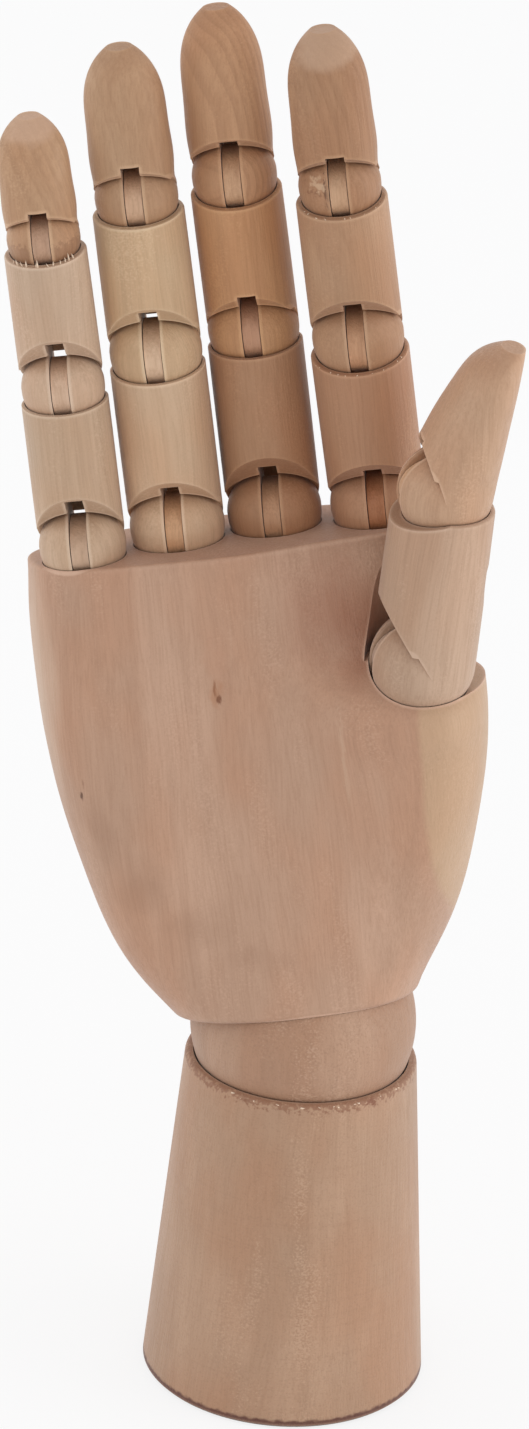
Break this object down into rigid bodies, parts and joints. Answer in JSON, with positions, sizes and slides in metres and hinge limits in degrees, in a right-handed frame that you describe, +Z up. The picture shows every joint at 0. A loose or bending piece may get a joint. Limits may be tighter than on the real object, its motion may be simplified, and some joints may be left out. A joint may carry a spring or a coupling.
{
  "type": "jointed wooden hand model",
  "caption": "Jointed wooden drawing hand on a tapered round base, with a sprung ball wrist and slotted ball-and-cup knuckles.",
  "frame": {"origin": "centre of the base's underside", "axes": "+Z up along the base, -Y out of the palm, +X towards the thumb"},
  "size_m": [0.103, 0.0586, 0.2827],
  "materials": {
    "base_wood": "sanded, unvarnished, with chips along the cup rim",
    "palm_wood": "sanded, unvarnished",
    "ball_wood": "sanded, unvarnished",
    "little_wood": "sanded, unvarnished",
    "ring_wood": "sanded, unvarnished, yellower",
    "middle_wood": "sanded, unvarnished, darker",
    "index_wood": "sanded, unvarnished",
    "thumb_wood": "sanded, unvarnished, lightest",
    "tongue_wood": "sawn, unvarnished",
    "steel": "drawn wire, bright zinc"
  },
  "bodies": {
    "stand": {"base": "base_wood", "base_plug": "base_wood", "base_anchor_pin": "steel"},
    "spring": {"wrist_spring": "steel"},
    "ball": {"wrist_ball": "ball_wood"},
    "hand": {"palm": "palm_wood", "palm_screw_eye": "steel", "little_knuckle_tongue": "tongue_wood", "ring_knuckle_tongue": "tongue_wood", "middle_knuckle_tongue": "tongue_wood", "index_knuckle_tongue": "tongue_wood", "thumb_knuckle_tongue": "tongue_wood"},
    "little_proximal": {"little_proximal": "little_wood", "little_knuckle_pin": "steel", "little_middle_joint_tongue": "tongue_wood"},
    "little_middle": {"little_middle": "little_wood", "little_middle_joint_pin": "steel", "little_end_joint_tongue": "tongue_wood"},
    "little_distal": {"little_distal": "little_wood", "little_end_joint_pin": "steel"},
    "ring_proximal": {"ring_proximal": "ring_wood", "ring_knuckle_pin": "steel", "ring_middle_joint_tongue": "tongue_wood"},
    "ring_middle": {"ring_middle": "ring_wood", "ring_middle_joint_pin": "steel", "ring_end_joint_tongue": "tongue_wood"},
    "ring_distal": {"ring_distal": "ring_wood", "ring_end_joint_pin": "steel"},
    "middle_proximal": {"middle_proximal": "middle_wood", "middle_knuckle_pin": "steel", "middle_middle_joint_tongue": "tongue_wood"},
    "middle_middle": {"middle_middle": "middle_wood", "middle_middle_joint_pin": "steel", "middle_end_joint_tongue": "tongue_wood"},
    "middle_distal": {"middle_distal": "middle_wood", "middle_end_joint_pin": "steel"},
    "index_proximal": {"index_proximal": "index_wood", "index_knuckle_pin": "steel", "index_middle_joint_tongue": "tongue_wood"},
    "index_middle": {"index_middle": "index_wood", "index_middle_joint_pin": "steel", "index_end_joint_tongue": "tongue_wood"},
    "index_distal": {"index_distal": "index_wood", "index_end_joint_pin": "steel"},
    "thumb_proximal": {"thumb_proximal": "thumb_wood", "thumb_knuckle_pin": "steel", "thumb_end_joint_tongue": "tongue_wood"},
    "thumb_distal": {"thumb_distal": "thumb_wood", "thumb_end_joint_pin": "steel"}
  },
  "joints": [
    {"name": "wrist_swivel", "type": "hinge", "parent": "stand", "child": "spring", "pos_m": [0, 0, 0.078], "axis": [0, 0, 1], "range_deg": [-90, 90], "deforming": ["wrist_spring"]},
    {"name": "wrist_side_tilt", "type": "hinge", "parent": "spring", "child": "ball", "pos_m": [0, 0, 0.078], "axis": [0, 1, 0], "range_deg": [-7.4, 26.6], "deforming": ["wrist_spring"]},
    {"name": "wrist_front_tilt", "type": "hinge", "parent": "ball", "child": "hand", "pos_m": [0, 0, 0.078], "axis": [0.986, 0, 0.1668], "range_deg": [-10.5, 23.5], "deforming": ["wrist_spring"]},
    {"name": "little_knuckle", "type": "hinge", "parent": "hand", "child": "little_proximal", "pos_m": [-0.04868, 0.00627, 0.17576], "axis": [0.986, 0, 0.1668], "range_deg": [-12, 60]},
    {"name": "little_middle_joint", "type": "hinge", "parent": "little_proximal", "child": "little_middle", "pos_m": [-0.05402, 0.00992, 0.20731], "axis": [0.986, 0, 0.1668], "range_deg": [-14, 72]},
    {"name": "little_end_joint", "type": "hinge", "parent": "little_middle", "child": "little_distal", "pos_m": [-0.0591, 0.01098, 0.23736], "axis": [0.986, 0, 0.1668], "range_deg": [-19, 60]},
    {"name": "ring_knuckle", "type": "hinge", "parent": "hand", "child": "ring_proximal", "pos_m": [-0.03061, 0.01276, 0.17832], "axis": [0.986, 0, 0.1668], "range_deg": [-12, 57]},
    {"name": "ring_middle_joint", "type": "hinge", "parent": "ring_proximal", "child": "ring_middle", "pos_m": [-0.0366, 0.01527, 0.21372], "axis": [0.986, 0, 0.1668], "range_deg": [-11, 68]},
    {"name": "ring_end_joint", "type": "hinge", "parent": "ring_middle", "child": "ring_distal", "pos_m": [-0.04186, 0.01665, 0.24485], "axis": [0.986, 0, 0.1668], "range_deg": [-18, 60]},
    {"name": "middle_knuckle", "type": "hinge", "parent": "hand", "child": "middle_proximal", "pos_m": [-0.01184, 0.01693, 0.18099], "axis": [0.986, 0, 0.1668], "range_deg": [-10, 62]},
    {"name": "middle_middle_joint", "type": "hinge", "parent": "middle_proximal", "child": "middle_middle", "pos_m": [-0.01804, 0.02116, 0.21763], "axis": [0.986, 0, 0.1668], "range_deg": [-18, 58]},
    {"name": "middle_end_joint", "type": "hinge", "parent": "middle_middle", "child": "middle_distal", "pos_m": [-0.02336, 0.02033, 0.24907], "axis": [0.986, 0, 0.1668], "range_deg": [-10, 70]},
    {"name": "index_knuckle", "type": "hinge", "parent": "hand", "child": "index_proximal", "pos_m": [0.00835, 0.01624, 0.18453], "axis": [0.986, 0, 0.1668], "range_deg": [-20, 32]},
    {"name": "index_middle_joint", "type": "hinge", "parent": "index_proximal", "child": "index_middle", "pos_m": [0.00236, 0.01404, 0.21996], "axis": [0.986, 0, 0.1668], "range_deg": [-9, 72]},
    {"name": "index_end_joint", "type": "hinge", "parent": "index_middle", "child": "index_distal", "pos_m": [-0.00297, 0.01264, 0.25148], "axis": [0.986, 0, 0.1668], "range_deg": [-15, 65]},
    {"name": "thumb_knuckle", "type": "hinge", "parent": "hand", "child": "thumb_proximal", "pos_m": [0.0188, -0.00467, 0.16052], "axis": [-0.1802, 0.9822, 0.0526], "range_deg": [-10, 26]},
    {"name": "thumb_end_joint", "type": "hinge", "parent": "thumb_proximal", "child": "thumb_distal", "pos_m": [0.0209, -0.00626, 0.19743], "axis": [-0.1802, 0.9822, 0.0526], "range_deg": [-65, 15]}
  ]
}
